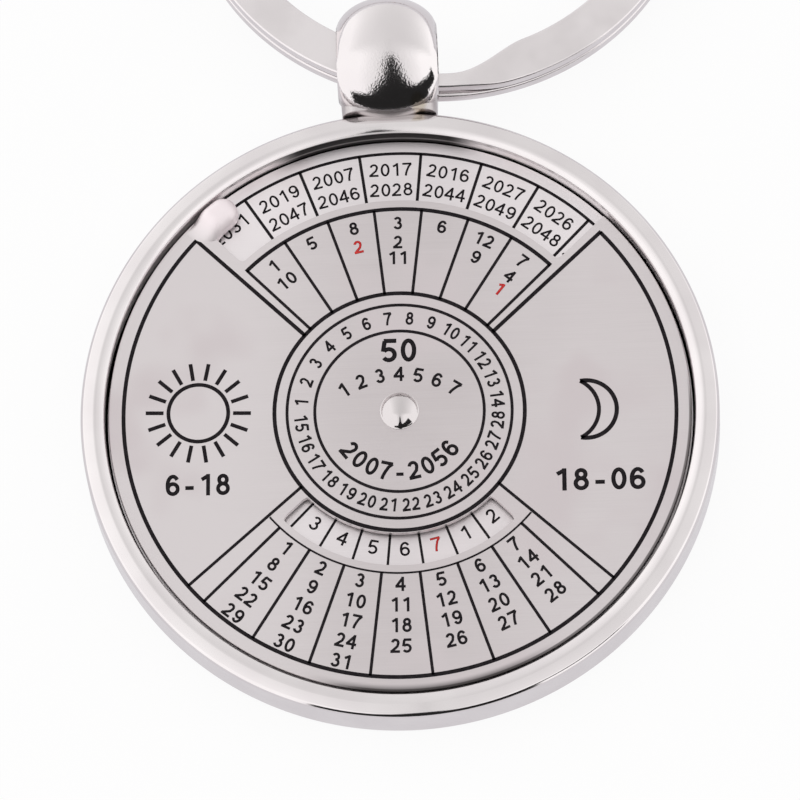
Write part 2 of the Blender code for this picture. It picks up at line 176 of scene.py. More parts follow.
# %% Shared sizes
WELL_FLOOR = 1.5 * MM
DISC_TOP = 2.0 * MM
PLATE_BOTTOM = 2.3 * MM
PLATE_TOP = 2.7 * MM
RIM_TOP = 3.30 * MM
PLATE_RADIUS = 18.245 * MM
WELL_RADIUS = 18.45 * MM
PIN_HOLE = 0.8 * MM
PLATE_TURN = math.radians(-1.36)
PITCH = 360 / 28
print("one column is", round(PITCH, 3), "degrees wide")

# %% [markdown]
# ## Turning round pieces
#
# The case, the pin and other round pieces are turned on a lathe in real life. Here one point is
# moved out along the profile by extruding it again and again, and the line is then spun round.
# A bevel on a cylinder would give the same edges, but the spun line keeps every size exact.

# %% A lathe


def turned(name, profile, steps):
    """Spin a profile of radius and height, which starts and ends on the Z axis, into a solid."""
    start_clean()
    bpy.ops.mesh.primitive_plane_add(size=MM)
    piece = bpy.context.object
    edit(piece)
    bpy.ops.mesh.merge(type="CENTER")
    bpy.ops.transform.translate(value=(profile[0][0], 0, profile[0][1]))
    for here, there in zip(profile, profile[1:]):
        move = (there[0] - here[0], 0, there[1] - here[1])
        bpy.ops.mesh.extrude_vertices_move(TRANSFORM_OT_translate={"value": move})
    bpy.ops.mesh.select_all(action="SELECT")
    bpy.ops.mesh.spin(steps=steps, angle=2 * math.pi, center=(0, 0, 0), axis=(0, 0, 1))
    close_up(piece)
    return settle(piece, name)


# %% [markdown]
# ## The case
#
# A cast dish with a polished bezel. The bezel is a low roof: a narrow slope that faces inwards,
# a soft crest, and a wider slope that falls outwards. Its inner edge rounds down steeply to the
# plate. Its outer edge rounds down in three bends, the middle one nearly a facet that catches
# the dark line seen at the bottom of the rim. Polished metal shows its form only by what its
# edges reflect, so they get many small steps.

# %% Turn the case
SLOPE_IN, SLOPE_OUT = 16.0, 15.0
LIP_IN, LIP_UP, LIP_POWER = 0.08 * MM, 0.32 * MM, 1.43
CREST_RADIUS, CREST_ROUND = 19.08 * MM, 0.45 * MM
EDGE_BENDS = ((0.20 * MM, SLOPE_OUT, 46, 8), (1.2 * MM, 46, 53, 4), (0.30 * MM, 53, 88, 8))
CASE_RADIUS, RIM_RADIUS = 20.04 * MM, 19.98 * MM
HOLE_BOTTOM, WELL_ROUND, BACK_ROUND = 0.405 * MM, 0.15 * MM, 0.35 * MM
crest_z = RIM_TOP - CREST_ROUND
crest_foot_x = CREST_RADIUS - CREST_ROUND * math.sin(math.radians(SLOPE_IN))
crest_foot_z = crest_z + CREST_ROUND * math.cos(math.radians(SLOPE_IN))
lip_run = crest_foot_x - WELL_RADIUS - LIP_IN
lip_top = crest_foot_z - lip_run * math.tan(math.radians(SLOPE_IN))
lip = []
for step in range(11):
    angle = math.pi / 2 * step / 10
    lip.append((WELL_RADIUS + LIP_IN * (1 - max(0, math.cos(angle)) ** LIP_POWER),
                lip_top - LIP_UP * (1 - math.sin(angle) ** LIP_POWER)))


def fall(radius, first, last):
    """How far out and down an edge goes that bends from one tilt to another."""
    first, last = math.radians(first), math.radians(last)
    return radius * (math.sin(last) - math.sin(first)), radius * (math.cos(first) - math.cos(last))


edge_x = RIM_RADIUS - sum(fall(radius, first, last)[0] for radius, first, last, _ in EDGE_BENDS)
edge_z = (crest_z + CREST_ROUND / math.cos(math.radians(SLOPE_OUT))
          - (edge_x - CREST_RADIUS) * math.tan(math.radians(SLOPE_OUT)))
edge = [(edge_x, edge_z)]
for radius, first, last, steps in EDGE_BENDS:
    start_x, start_z = edge[-1]
    for step in range(1, steps + 1):
        out, down = fall(radius, first, first + (last - first) * step / steps)
        edge.append((start_x + out, start_z - down))
well_x = WELL_RADIUS - WELL_ROUND
profile = [(0, HOLE_BOTTOM), (PIN_HOLE, HOLE_BOTTOM), (PIN_HOLE, WELL_FLOOR), (well_x, WELL_FLOOR)]
profile += arc(well_x, WELL_FLOOR + WELL_ROUND, WELL_ROUND, -90, 0, 4) + lip
profile += arc(CREST_RADIUS, crest_z, CREST_ROUND, 90 + SLOPE_IN, 90 - SLOPE_OUT, 8)
profile += edge
profile += arc(CASE_RADIUS - BACK_ROUND, BACK_ROUND, BACK_ROUND, 0, -90, 8)
profile += [(18.8 * MM, 0), (0, 0)]
case = turned("polished_case", profile, 240)
smooth(case)
print("rim starts", round(lip_top / MM, 3), "and ends", round(edge[-1][1] / MM, 3), "mm high")

# %% [markdown]
# ## The bail
#
# A short polished barrel, crowned along its length. It starts as a cylinder lying across the
# case. Cuts divide it into slices, and each slice gets its own outline: round at the far side,
# and with a long slope towards the case that turns down tightly at the rim.

# %% Shape the barrel
BAIL_HALF = 3.2 * MM
EYE_LOW, EYE_HIGH, EYE_DEEP = 20.95 * MM, 25.607 * MM, 1.95 * MM
SWING_Z = 3.197 * MM
LIP = 0.12 * MM
BAIL_LOW, BAIL_HIGH, BAIL_APEX = 19.62 * MM, 27.557 * MM, 25.0 * MM
END_SHARE = 0.2
CROWN_END = math.acos(END_SHARE)


def between(first, last, share):
    """A value on the way from a first to a last one."""
    return first + (last - first) * share


def outline(x, angle):
    """A point on the outline of the slice at x, from an angle counted from +Y towards +Z."""
    height = math.sqrt(1 - min(1, abs(x) / (BAIL_HALF / math.sin(CROWN_END))) ** 2)
    full = max(0, (height - END_SHARE) / (1 - END_SHARE))
    apex = between((EYE_LOW + EYE_HIGH) / 2, BAIL_APEX, full)
    low, high = between(EYE_LOW - LIP, BAIL_LOW, full), between(EYE_HIGH + LIP, BAIL_HIGH, full)
    deep = between(EYE_DEEP + LIP, SWING_Z, full)
    across, up = math.cos(angle), math.sin(angle)
    if across >= 0:
        return apex + (high - apex) * across, SWING_Z + deep * up
    bulge = between(0.5, 0.8, full) if up > 0 else 0.5
    rise = max(0, 1 - across * across) ** bulge
    return apex + (apex - low) * across, SWING_Z + math.copysign(deep * rise, up)


def barrel(name, half_length, slices, shape):
    """A lying cylinder, cut into slices whose points are moved to their places on an outline."""
    start_clean()
    bpy.ops.mesh.primitive_cylinder_add(vertices=160, radius=1, depth=2 * half_length,
                                        rotation=(0, math.pi / 2, 0))
    piece = settle(bpy.context.object, name)
    edit(piece)
    for x in slices:
        bpy.ops.mesh.select_all(action="SELECT")
        bpy.ops.mesh.bisect(plane_co=(x, 0, 0), plane_no=(1, 0, 0))
    mesh = bmesh.from_edit_mesh(piece.data)
    for vertex in mesh.verts:
        place = vertex.co
        place.y, place.z = shape(place.x, math.atan2(place.z, place.y))
    bmesh.update_edit_mesh(piece.data)
    return close_up(piece)


ends = [math.sin(CROWN_END * step / 24) / math.sin(CROWN_END) for step in range(-23, 24)]
bail = barrel("polished_bail", BAIL_HALF, [BAIL_HALF * share for share in ends], outline)
print("barrel", [round(side / MM, 3) for side in bail.dimensions])

# %% [markdown]
# The neck starts as a cube, narrowed a little at the case and with well rounded edges. The
# case's round side is cut out of it before it is joined to the barrel, so that only the barrel
# leans over the rim. Then the rim's shape and the oval eye are cut.

# %% Join the neck and cut the eye
NECK_SIZE, NECK_PLACE = (6.38 * MM, 3.2 * MM, 3.5 * MM), (0, 21.3 * MM, 1.95 * MM)
start_clean()
bpy.ops.mesh.primitive_cube_add(size=1, location=NECK_PLACE, scale=NECK_SIZE)
neck = settle(bpy.context.object, "neck")
edit(neck)
pick(neck, "VERT", lambda place: place.y < 20 * MM)
bpy.ops.transform.resize(value=(0.94, 1, 1), center_override=(0, 0, 0))
pick(neck, "EDGE", lambda place: abs(place.y - NECK_PLACE[1]) < 0.1 * MM)
bpy.ops.mesh.bevel(offset=0.9 * MM, segments=8)
close_up(neck)
side_wall = [(0, -MM), (CASE_RADIUS, -MM), (CASE_RADIUS, 5 * MM), (0, 5 * MM)]
cut_with(neck, turned("side_wall", side_wall, 240))
cut_with(bail, neck, "UNION")
seat = [(0, -MM), (20.06 * MM, -MM), (20.06 * MM, 2.92 * MM), (19.75 * MM, 3.1 * MM),
        (18.6 * MM, 3.42 * MM), (0, 3.42 * MM)]
cut_with(bail, turned("seat", seat, 240))
eye_middle, eye_half = (EYE_LOW + EYE_HIGH) / 2, (EYE_HIGH - EYE_LOW) / 2
cut_with(bail, barrel("eye", 5 * MM, [], lambda x, angle: (
    eye_middle + eye_half * math.cos(angle), SWING_Z + EYE_DEEP * math.sin(angle))))
round_edges(bail, 0.05 * MM, 50)
smooth(bail, 40)

# %% [markdown]
# ## The split ring
#
# Flat wire is wound twice round, and where the wire steps from one coil to the other it is
# pressed narrower. A spun section can't change its width or level, so a flat grid is used like
# a strip of sheet: its long side follows the wire and its short side is rolled round the wire's
# section. The grid's own map then runs along the wire, which the finish uses for its drawn lines.

# %% Roll the wire
RING_RADIUS, RING_BAND = 16.46 * MM, 2.57 * MM
RING_MIDDLE = RING_RADIUS - RING_BAND / 2
COIL, COIL_GAP = 0.84 * MM, 0.11 * MM
RING_TURN, RING_TILT = math.radians(-14.2), math.radians(-4.141)
SWING_Y = 22.606 * MM
WIRE_ROUND, CROWN = 0.14 * MM, 0.16 * MM
NARROW, INSET = 0.47, 0.23 * MM


def ease(value, low, high):
    """0 below low, 1 above high, and a smooth rise between them."""
    share = min(1, max(0, (value - low) / (high - low)))
    return share * share * (3 - 2 * share)


def wire_point(angle, side):
    """A point on the wire's skin: an angle along the wire, and a share of the way round it."""
    near = (angle + 180) % 360 - 180
    width = NARROW + (1 - NARROW) * max(1 - ease(near, -11, -3), ease(near, 15.5, 35))
    outer = RING_RADIUS - INSET * (1 - ease(angle, 17, 28))
    inner = RING_RADIUS - RING_BAND * width
    level = (COIL + COIL_GAP) * (0.5 - ease(angle, 350, 366))
    corners = ((outer, 1, 0), (outer, -1, -90), (inner, -1, 180), (inner, 1, 90))
    quarter = side * 4
    edge, up, start = corners[int(quarter) % 4]
    inward = WIRE_ROUND if edge == inner else -WIRE_ROUND
    turn = math.radians(start + 90 * max(0, 1 - (quarter % 1) / 0.75))
    radius = edge + inward + WIRE_ROUND * math.cos(turn)
    height = level + up * (COIL / 2 - WIRE_ROUND) + WIRE_ROUND * math.sin(turn)
    if up > 0:
        height -= CROWN * ease(radius, (inner + outer) / 2, outer + 0.6 * MM)
    along = math.radians(angle)
    return (radius * math.sin(along), RING_MIDDLE - radius * math.cos(along), height)


start_clean()
STATIONS, SIDES = 420, 48
WIRE_START, WIRE_RUN = 8, 703
bpy.ops.mesh.primitive_grid_add(x_subdivisions=STATIONS, y_subdivisions=SIDES, size=1)
ring = bpy.context.object
for vertex in ring.data.vertices:
    share = round((vertex.co.y + 0.5) * SIDES) / SIDES
    vertex.co = wire_point(WIRE_START + WIRE_RUN * (vertex.co.x + 0.5), share % 1)
edit(ring)
merge(0.0005 * MM)
bpy.ops.mesh.fill_holes(sides=0)
close_up(ring, 0.0005 * MM)
ring.matrix_world = (Matrix.Translation((0, SWING_Y, SWING_Z)) @ Matrix.Rotation(RING_TURN, 4, "Z")
                     @ Matrix.Rotation(RING_TILT, 4, "X"))
settle(ring, "wound_ring")
smooth(ring, 50)

# %% [markdown]
# ## The calendar plate
#
# A disc of thin sheet, with the year window open at its edge and the weekday window inside. A
# cutter for each window is a bar that is spun along the window's arc, and its corners are
# rounded before it cuts. A fine bevel then rounds every edge, as stamping and polishing do.

# %% Window cutters


def window_cutter(inner, outer, ends, rounded):
    """A bar between two radii, spun between two angles, with the corners at some radii rounded."""
    corners = [at(radius, angle) for radius in rounded for angle in ends]
    start_clean()
    bpy.ops.mesh.primitive_plane_add(
        size=1, location=(*at((inner + outer) / 2, ends[0]), PLATE_TOP),
        rotation=(math.pi / 2, 0, math.radians(ends[0])))
    bar = bpy.context.object
    bar.scale = (outer - inner, 2 * MM, 1)
    settle(bar, "window_cutter")
    edit(bar)
    span = ends[1] - ends[0]
    bpy.ops.mesh.spin(steps=round(span), angle=-math.radians(span), center=(0, 0, 0),
                      axis=(0, 0, 1))
    close_up(bar)
    edit(bar)
    pick(bar, "EDGE", lambda place: abs(place.z - PLATE_TOP) < 0.01 * MM and any(
        math.hypot(place.x - x, place.y - y) < 0.02 * MM for x, y in corners))
    bpy.ops.mesh.bevel(offset=0.5 * MM, segments=5)
    return close_up(bar)


# %% [markdown]
# The plate is a turned disc of 0.4 mm sheet. Stamping leaves its outer edge rolled over. The
# pin's hole is cut too, although the pin's head covers it.

# %% Stamp the plate


def drill(piece, height):
    """Cut the pin's hole through a sheet."""
    start_clean()
    bpy.ops.mesh.primitive_cylinder_add(vertices=48, radius=PIN_HOLE, depth=2 * MM,
                                        location=(0, 0, height))
    cut_with(piece, settle(bpy.context.object, "pin_hole"))


ROLLED = 0.11 * MM
profile = [(0, PLATE_BOTTOM), (PLATE_RADIUS, PLATE_BOTTOM)]
profile += arc(PLATE_RADIUS - ROLLED, PLATE_TOP - ROLLED, ROLLED, 0, 90, 8)
plate = turned("calendar_plate", profile + [(0, PLATE_TOP)], 288)
YEAR_LOW, YEAR_ENDS = 14.1 * MM, (90 - 46.9, 90 + 43.1)
DAY_LOW, DAY_HIGH, DAY_ENDS = 8.0 * MM, 10.1 * MM, (222.0, 313.8)
cut_with(plate, window_cutter(YEAR_LOW, 20 * MM, YEAR_ENDS, (YEAR_LOW,)))
cut_with(plate, window_cutter(DAY_LOW, DAY_HIGH, DAY_ENDS, (DAY_LOW, DAY_HIGH)))
drill(plate, PLATE_TOP)
round_edges(plate, 0.07 * MM, 60)
smooth(plate)

# %% [markdown]
# The disc under the plate lies still on the floor of the well and nearly fills it. Its lower
# edge is cut back, because the well's corner is rounded.

# %% Turn the disc
DISC_RADIUS, DISC_ROUND = 18.35 * MM, 0.03 * MM
profile = [(0, WELL_FLOOR), (DISC_RADIUS - 0.2 * MM, WELL_FLOOR), (DISC_RADIUS, 1.72 * MM)]
profile += arc(DISC_RADIUS - DISC_ROUND, DISC_TOP - DISC_ROUND, DISC_ROUND, 0, 90, 3)
disc = turned("year_disc_sheet", profile + [(0, DISC_TOP)], 288)
drill(disc, DISC_TOP)
smooth(disc)

# %% [markdown]
# ## The finger tab
#
# A tongue pressed up out of the plate beside the year window. It rises smoothly out of the
# plate, follows the rim out over the window and ends in a round tip. A grid is bent along the
# rim and lifted into a dome, a soft swelling at its root and a full round over the window. Its
# side towards the rim is the steeper one.

# %% Press the finger tab
TAB_HALF, TAB_REACH, TAB_ROOT, TAB_RISE = 0.97 * MM, 2.45 * MM, 1.15 * MM, 0.75 * MM
TAB_COLUMNS, TAB_ROWS = 84, 36
TAB_OUTER, TAB_TUCK = PLATE_RADIUS + 0.12 * MM, 0.22 * MM
TAB_UNDER, ROOT_UNDER, OVER_WINDOW = PLATE_BOTTOM + 0.2 * MM, PLATE_TOP - 0.004 * MM, -0.4


def tab_point(along, across):
    """A point of the tab's skin, from shares along it and across it, each from -1 to 1."""
    straight, half, middle = TAB_REACH - TAB_HALF, TAB_HALF, TAB_OUTER - TAB_HALF
    if along > 0:
        place = straight + TAB_HALF * math.sin(math.pi / 2 * along)
        half = TAB_HALF * math.cos(math.pi / 2 * along)
    elif along > OVER_WINDOW:
        place = straight * (1 - along / OVER_WINDOW)
    else:
        fade = (OVER_WINDOW - along) / (1 + OVER_WINDOW)
        place = -TAB_ROOT * fade
        half = TAB_HALF * (1 - 0.4 * ease(fade, 0, 1))
        middle = TAB_OUTER - half
    tuck = TAB_TUCK * ease(-place, -0.8 * MM, 0.9 * MM)
    lift = math.cos(math.pi / 2 * max(0, along)) ** 0.8 * ease(place, -TAB_ROOT, 0.9 * MM)
    root = ease(-place, -0.5 * MM, 0.8 * MM)
    dome = max(0, 1 - abs(across) ** (5.0 if across > 0 else 2.3)) ** (0.42 + 0.9 * root)
    base = between(TAB_UNDER, ROOT_UNDER, root)
    height = between(base, PLATE_TOP + TAB_RISE, dome * lift)
    angle = YEAR_ENDS[1] - math.degrees(place / (TAB_OUTER - TAB_HALF))
    return (*at(middle - tuck + half * across, angle), height)


start_clean()
bpy.ops.mesh.primitive_grid_add(x_subdivisions=TAB_COLUMNS, y_subdivisions=TAB_ROWS, size=2)
tab = bpy.context.object
for vertex in tab.data.vertices:
    vertex.co = tab_point(vertex.co.x, math.sin(math.pi / 2 * vertex.co.y))
edit(tab)
merge()
bpy.ops.mesh.normals_make_consistent(inside=False)
pick(tab, "EDGE", lambda place: False)
bpy.ops.mesh.select_non_manifold(extend=False)
bpy.ops.mesh.extrude_edges_move()
bpy.ops.transform.resize(value=(1, 1, 0), center_override=(0, 0, PLATE_BOTTOM + 0.08 * MM))
bpy.ops.mesh.fill()
close_up(tab)
settle(tab, "finger_tab")
smooth(tab, 60)

# %% [markdown]
# ## The pin's head
#
# The plate turns on a pin with a low polished dome, which is another turned piece.

# %% Turn the pin
HEAD_RADIUS, HEAD_RISE, SHAFT_RADIUS, SHAFT_END = 1.22 * MM, 0.6 * MM, 0.7 * MM, 0.41 * MM
dome = (HEAD_RADIUS ** 2 + HEAD_RISE ** 2) / (2 * HEAD_RISE)
half_angle = math.degrees(math.asin((HEAD_RADIUS - 0.03 * MM) / dome))
profile = arc(0, PLATE_TOP + HEAD_RISE - dome, dome, 90, 90 - half_angle, 16)
profile += [(HEAD_RADIUS, PLATE_TOP + 0.03 * MM), (HEAD_RADIUS - 0.02 * MM, PLATE_TOP)]
profile += [(SHAFT_RADIUS, PLATE_TOP), (SHAFT_RADIUS, SHAFT_END), (0, SHAFT_END)]
profile[0] = (0, PLATE_TOP + HEAD_RISE)
pin = turned("domed_pin", profile, 96)
smooth(pin, 40)

# %% [markdown]
# ## Printing
#
# The lines and numbers are a film of ink that stands 0.015 mm above the face. A straight line is
# a flat bar, and a line that follows the dial is a bar spun round its centre. Each digit is drawn
# once with pen strokes and copied wherever it is printed. The plate carries months and dates, and
# the still disc under it carries years and weekdays, which show through the windows.

# %% Ink bars and arcs
INK_DEEP, INK_MIDDLE = 0.02 * MM, 0.005 * MM


def ink_bar(first, last, width, face=PLATE_TOP):
    """A straight printed line between two points of a face."""
    length = math.hypot(last[0] - first[0], last[1] - first[1])
    angle = math.atan2(last[1] - first[1], last[0] - first[0])
    start_clean()
    bpy.ops.mesh.primitive_cube_add(size=1, rotation=(0, 0, angle), location=(
        (first[0] + last[0]) / 2, (first[1] + last[1]) / 2, face + INK_MIDDLE))
    bar = bpy.context.object
    bar.scale = (length, width, INK_DEEP)
    return settle(bar, "ink")


def ink_arc(radius, start, end, width, centre=(0, 0), face=PLATE_TOP):
    """A printed line that follows a circle between two angles in degrees."""
    start_clean()
    bpy.ops.mesh.primitive_plane_add(
        size=1, rotation=(math.pi / 2, 0, math.radians(start)),
        location=(*at(radius, start, centre), face + INK_MIDDLE))
    bar = bpy.context.object
    bar.scale = (width, INK_DEEP, 1)
    settle(bar, "ink")
    edit(bar)
    bpy.ops.mesh.delete(type="ONLY_FACE")
    bpy.ops.mesh.select_all(action="SELECT")
    steps = max(6, round(abs(end - start) * max(radius, 3 * MM) / (8 * MM)))
    bpy.ops.mesh.spin(steps=steps, angle=-math.radians(end - start), center=(*centre, 0),
                      axis=(0, 0, 1))
    merge()
    bpy.ops.mesh.fill_holes(sides=4)
    return close_up(bar)


# %% Digits from pen strokes
DIGIT_STEP = 0.777
glyphs = {}


def bow(middle_x, middle_y, half_wide, half_tall, start, end):
    """Points on part of an oval, between two angles in degrees."""
    points = []
    steps = max(3, round(abs(end - start) / 15))
    for step in range(steps + 1):
        angle = math.radians(start + (end - start) * step / steps)
        points.append((middle_x + half_wide * math.cos(angle),
                       middle_y + half_tall * math.sin(angle)))
    return points


def strokes(character, pen):
    """The pen's path for a digit or dash 1 high: a list of points for each stroke."""
    half, top = pen / 2, 1 - pen / 2
    waist, belt = 0.525, 0.54
    shapes = {
        "-": [[(0.19, 0.36), (0.58, 0.36)]],
        "0": [bow(0.385, 0.5, 0.318 - half, 0.5 - half, 0, 345)],
        "1": [[(0.47, 0), (0.47, 1)], [(0.17, 0.745), (0.34, 0.84), (0.46, 1 - half)]],
        "2": [bow(0.37, 0.70, 0.29 - half, 0.30 - half, 170, -28)
              + [(0.50, 0.45), (0.32, 0.29), (0.15, 0.14), (0.07, half)],
              [(0.03, half), (0.68, half)]],
        "3": [bow(0.36, (top + waist) / 2, 0.275 - half, (top - waist) / 2, 160, -95),
              bow(0.37, (waist + half) / 2, 0.31 - half, (waist - half) / 2, 95, -162)],
        "4": [[(0.51, 0), (0.51, 1)], [(0.50, top), (0.06, 0.30)],
              [(0.02, 0.24 + half), (0.71, 0.24 + half)]],
        "5": [[(0.16, top), (0.67, top)], [(0.20, top), (0.13, 0.45)],
              bow(0.36, 0.32, 0.33 - half, 0.325 - half, 142, -146)],
        "6": [bow(0.39, 0.5, 0.34 - half, 0.5 - half, 38, 185) + [(0.06 + half, 0.32)],
              bow(0.385, 0.325, 0.32 - half, 0.325 - half, 0, 345)],
        "7": [[(0.06, top), (0.70, top)],
              [(0.68, top), (0.50, 0.70), (0.38, 0.42), (0.31, 0.2), (0.28, 0)]],
        "8": [bow(0.385, (top + belt) / 2, 0.27 - half, (top - belt) / 2, 0, 345),
              bow(0.385, (belt + half) / 2, 0.32 - half, (belt - half) / 2, 0, 345)],
    }
    shapes["9"] = [[(DIGIT_STEP - x, 1 - y) for x, y in stroke] for stroke in shapes["6"]]
    return shapes[character]


def cut_glyph(character, pen):
    """One digit, drawn as curves with a pen's width, as a flat mesh centred on its place."""
    start_clean()
    drawing = bpy.data.curves.new("digit", "CURVE")
    drawing.dimensions = "3D"
    drawing.twist_mode = "Z_UP"
    drawing.bevel_depth = pen / 2
    drawing.bevel_resolution = 0
    drawing.use_fill_caps = True
    for points in strokes(character, pen):
        spline = drawing.splines.new("POLY")
        spline.points.add(len(points) - 1)
        for point, (x, y) in zip(spline.points, points):
            point.co = (x, y, 0, 1)
        spline.use_cyclic_u = len(points) > 20
    writing = bpy.data.objects.new("digit", drawing)
    bpy.context.scene.collection.objects.link(writing)
    writing.select_set(True)
    bpy.context.view_layer.objects.active = writing
    bpy.ops.object.convert(target="MESH")
    glyph = bpy.context.object
    glyph.data.transform(Matrix.Diagonal((1, 1, 1 / pen, 1)))
    glyph.data.transform(Matrix.Translation((-DIGIT_STEP / 2, -0.5, 0)))
    return glyph


def glyph_of(character, pen):
    """The mesh of a digit, made at its first use."""
    if (character, pen) not in glyphs:
        made = cut_glyph(character, pen)
        glyphs[character, pen] = made.data.copy()
        bpy.data.objects.remove(made, do_unlink=True)
    return glyphs[character, pen]


def ink_row(text, radius, angle, tall, wide=1.0, spacing=1.0, inward=False, centre=(0, 0),
            bend=None, face=PLATE_TOP, pen=0.18):
    """Print a number round a centre; inward turns its foot outwards, bend curves the row."""
    step = DIGIT_STEP * tall * wide * spacing
    made = []
    for index, character in enumerate(text):
        offset = (index - (len(text) - 1) / 2) * step
        lean = math.radians(angle + (90 if inward else -90))
        place = Matrix.Translation((*centre, face + INK_MIDDLE))
        place = place @ Matrix.Rotation(lean, 4, "Z") @ Matrix.Translation(
            (0, -radius if inward else radius, 0))
        if bend:
            place = place @ Matrix.Translation((0, -bend, 0)) @ Matrix.Rotation(
                -offset / bend, 4, "Z") @ Matrix.Translation((0, bend, 0))
        else:
            place = place @ Matrix.Translation((offset, 0, 0))
        place = place @ Matrix.Diagonal((tall * wide, tall, INK_DEEP, 1))
        mesh = glyph_of(character, pen).copy()
        mesh.transform(place)
        stamp = bpy.data.objects.new("ink", mesh)
        bpy.context.scene.collection.objects.link(stamp)
        made.append(stamp)
    return made


def bind(name, stamps, turn=0.0):
    """Join ink stamps into one piece, and turn it with the plate if it lies on the plate."""
    start_clean()
    for stamp in stamps:
        stamp.select_set(True)
    bpy.context.view_layer.objects.active = stamps[0]
    bpy.ops.object.join()
    piece = bpy.context.object
    piece.matrix_world = Matrix.Rotation(turn, 4, "Z") @ piece.matrix_world
    settle(piece, name)
    print(name, len(stamps), "stamps,", len(piece.data.polygons), "faces")
    return piece


# %% [markdown]
# The rings and column lines of the plate come first. The two large fields left and right have
# edges that are not quite radial, so they are given by their end points.

# %% Lines on the plate
FINE, THICK = 0.19 * MM, 0.25 * MM
RINGS = [(5.30 * MM, FINE), (7.04 * MM, FINE), (7.83 * MM, THICK)]
lines = [ink_arc(radius, 0, 360, width) for radius, width in RINGS]
half_span, FIELD_END = 3.5 * PITCH + 0.35, 47.6
MONTH_TOP, FIELD, DATE_TOP, HUB = 13.51 * MM, 17.29 * MM, 10.6 * MM, 7.8 * MM
lines.append(ink_arc(MONTH_TOP, 90 - half_span, 90 + half_span, THICK))
lines.append(ink_arc(FIELD, 90 + FIELD_END, 450 - FIELD_END, THICK))
lines.append(ink_arc(DATE_TOP, 270 - 50, 270 + 50, 0.12 * MM))
for number in range(8):
    painted_light = (number - 3.5) * PITCH
    lines.append(ink_bar(at(HUB, 90 + painted_light), at(MONTH_TOP, 90 + painted_light), FINE))
    lines.append(ink_bar(at(DATE_TOP, 270 + painted_light), at(FIELD, 270 + painted_light), FINE))
for side in (-1, 1):
    corner, foot = at(FIELD + 0.08 * MM, 90 + side * FIELD_END), at(FIELD, 270 + side * 49.7)
    lines.append(ink_bar(at(HUB, 90 + side * 49), corner, THICK))
    lines.append(ink_bar(at(HUB, 270 + side * 51.6), foot, FINE))
print(len(lines), "lines on the plate")

# %% [markdown]
# The sun and the crescent are traditional figures. Rays are bars round a ring, and the crescent
# is drawn by two arcs through its tips.

# %% Sun and crescent
SUN, MOON_TIP, MOON_HALF, MOON_Y = (-12.60 * MM, 0.11 * MM), 11.31 * MM, 1.86 * MM, -0.12 * MM
lines.append(ink_arc(1.875 * MM, 0, 360, 0.24 * MM, SUN))
for ray in range(18):
    angle = 20 * ray - 1.1
    lines.append(ink_bar(at(2.18 * MM, angle, SUN), at(3.30 * MM, angle, SUN), 0.24 * MM))


def moon_arc(far_x, width):
    """A printed arc through the crescent's two tips that bulges out to a far point."""
    rise = far_x - MOON_TIP
    radius = (rise * rise + MOON_HALF * MOON_HALF) / (2 * rise)
    half = math.degrees(math.asin(min(1, MOON_HALF / radius)))
    if rise > radius:
        half = 180 - half
    return ink_arc(radius, -half, half, width, (far_x - radius, MOON_Y))


lines += [moon_arc(13.57 * MM, 0.27 * MM), moon_arc(12.46 * MM, 0.25 * MM)]
print("sun and crescent drawn")

# %% [markdown]
# Plain numbers stand in the places of the words: months as 1 to 12, the hours of day and night
# under the sun and the crescent, a scale of the 28 columns in the band round the hub, and the
# weekday numbers above the pin. Months for leap years are red.

# %% Numbers on the plate
months = [("1", "10"), ("5",), ("8", "-2"), ("3", "2", "11"), ("6",), ("12", "9"),
          ("7", "4", "-1")]
rows = (12.56 * MM, 11.28 * MM, 10.22 * MM)
black, red = list(lines), []
for column, names in enumerate(months):
    angle = 90 + (3 - column) * PITCH
    for name, radius in zip(names, rows):
        bucket = red if name.startswith("-") else black
        bucket += ink_row(name.lstrip("-"), radius, angle, 0.86 * MM, 1.04)
for day in range(1, 32):
    column, row = (day - 1) % 7, (day - 1) // 7
    black += ink_row(str(day), (11.31 + 1.325 * row) * MM, 270 + (column - 3) * PITCH,
                     0.92 * MM, inward=True)
for column in range(28):
    middle = 90 - (column - 6.5) * PITCH if column < 14 else 270 + (column - 20.5) * PITCH
    black += ink_row(str(column + 1), 6.17 * MM, middle, 0.86 * MM, 0.9, inward=column > 13)
black += ink_row("50", 4.02 * MM, 90, 1.55 * MM)
black += ink_row("1234567", 2.45 * MM, 90, 0.95 * MM, spacing=1.65, bend=6.5 * MM)
black += ink_row("2007-2056", 4.0 * MM, 270, 1.2 * MM, 0.96, inward=True, bend=-4.0 * MM)
black += ink_row("6-18", 4.72 * MM, 270, 1.4 * MM, 0.96, inward=True, centre=SUN)
black += ink_row("18-06", 4.62 * MM, 270, 1.45 * MM, 1.04, inward=True,
                 centre=(12.44 * MM, -0.1 * MM))
plate_black = bind("plate_print_black", black, PLATE_TURN)
plate_red = bind("plate_print_red", red, PLATE_TURN)

# %% [markdown]
# The disc's print runs all the way round, because turning the plate shows every column in turn.
# Each column lists years in which March starts on the same weekday (the red months are for
# January and February of leap years), and weekdays lie opposite them.

